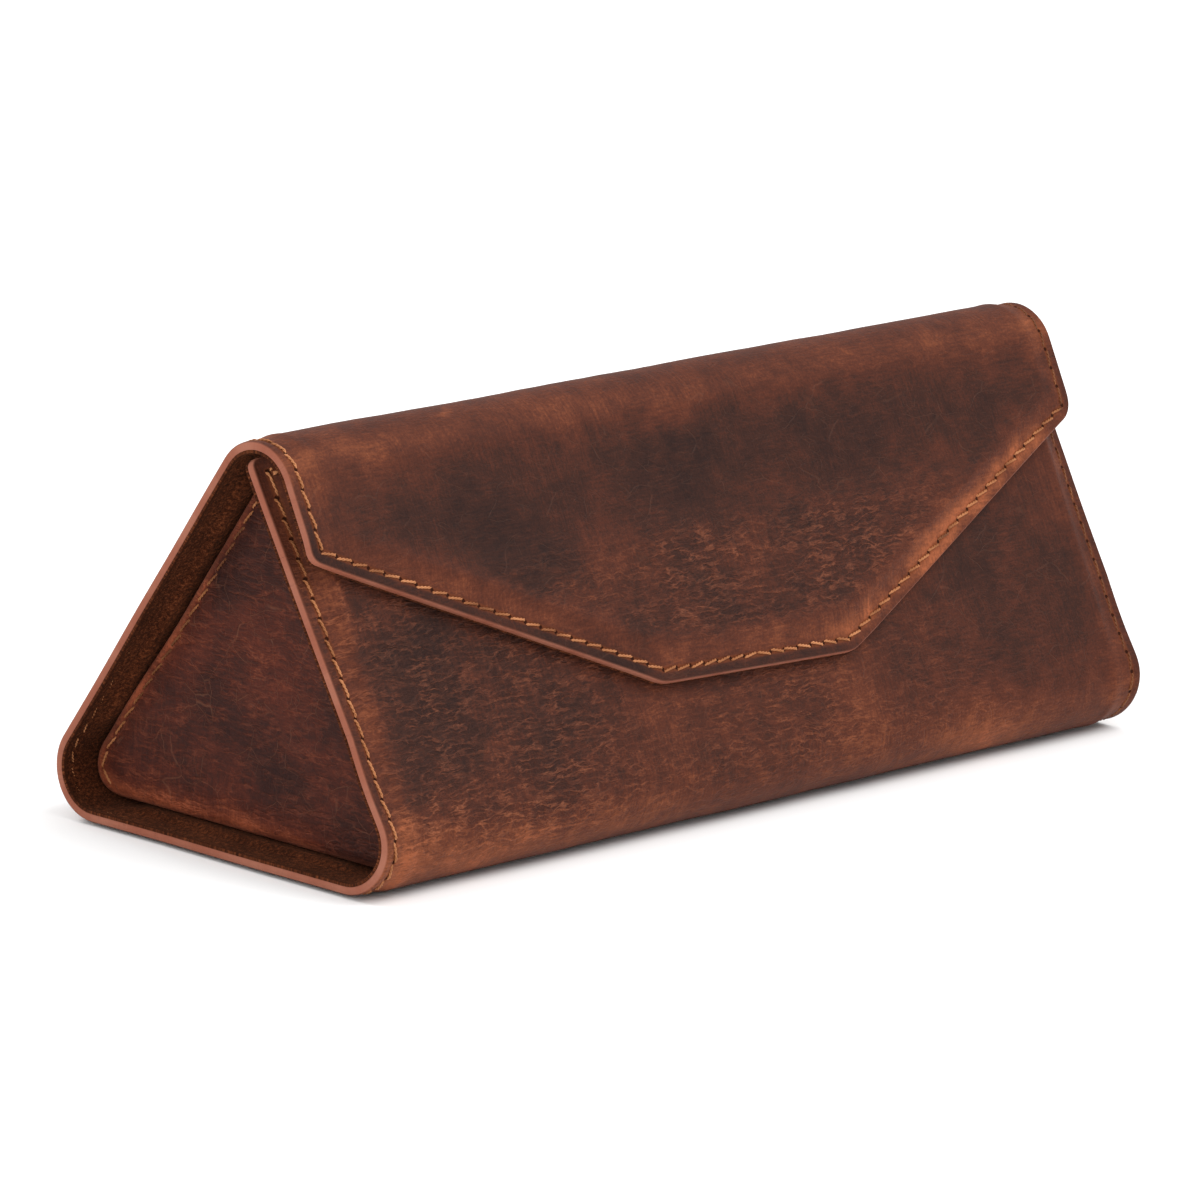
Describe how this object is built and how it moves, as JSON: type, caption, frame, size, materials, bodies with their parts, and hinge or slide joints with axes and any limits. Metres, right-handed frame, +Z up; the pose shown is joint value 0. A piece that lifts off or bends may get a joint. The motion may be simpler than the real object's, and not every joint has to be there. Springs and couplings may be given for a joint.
{
  "type": "eyeglasses case",
  "caption": "Stitched leather eyeglasses case of triangular section with recessed gusset ends and a tapering magnetic flap.",
  "frame": {"origin": "centre of the underside, on the surface that the case stands on", "axes": "+X along the case's length, +Y to the back panel, +Z up"},
  "size_m": [0.165, 0.0644, 0.0613],
  "materials": {
    "leather": "waxed pull-up leather, dark brown with red-brown bands",
    "gusset_leather": "waxed pull-up leather",
    "lining": "napped dark brown suede",
    "board": "dense fibreboard",
    "thread": "waxed amber thread",
    "magnet": "nickel plated disc",
    "keeper": "plain steel disc"
  },
  "bodies": {
    "tray": {"front_leather": "leather", "front_fold_leather": "leather", "base_leather": "leather", "front_lining": "lining", "front_fold_lining": "lining", "base_lining": "lining", "front_board": "board", "base_board": "board", "front_keepers": "keeper", "tray_thread": "thread", "left_gusset_leather": "gusset_leather", "left_gusset_board": "board", "left_gusset_lining": "lining", "left_gusset_thread": "thread", "right_gusset_leather": "gusset_leather", "right_gusset_board": "board", "right_gusset_lining": "lining", "right_gusset_thread": "thread"},
    "back": {"back_leather": "leather", "back_lining": "lining", "back_board": "board", "back_thread": "thread", "rear_fold_leather": "leather", "rear_fold_lining": "lining", "rear_fold_thread": "thread"},
    "flap": {"flap_leather": "leather", "flap_lining": "lining", "flap_board": "board", "flap_magnets": "magnet", "flap_thread": "thread", "apex_fold_leather": "leather", "apex_fold_lining": "lining", "apex_fold_thread": "thread"}
  },
  "joints": [
    {"name": "back_open", "type": "hinge", "parent": "tray", "child": "back", "pos_m": [0, 0.03134, 0.00442], "axis": [-1, 0, 0], "range_deg": [0, 120], "deforming": ["rear_fold_leather", "rear_fold_lining", "rear_fold_thread"]},
    {"name": "flap_open", "type": "hinge", "parent": "back", "child": "flap", "pos_m": [0, -0.00539, 0.0613], "axis": [-1, 0, 0], "range_deg": [0, 120], "deforming": ["apex_fold_leather", "apex_fold_lining", "apex_fold_thread"]}
  ],
  "couplings": [
    {"joint": "back_open", "follows": "flap_open", "ratio": 1}
  ]
}
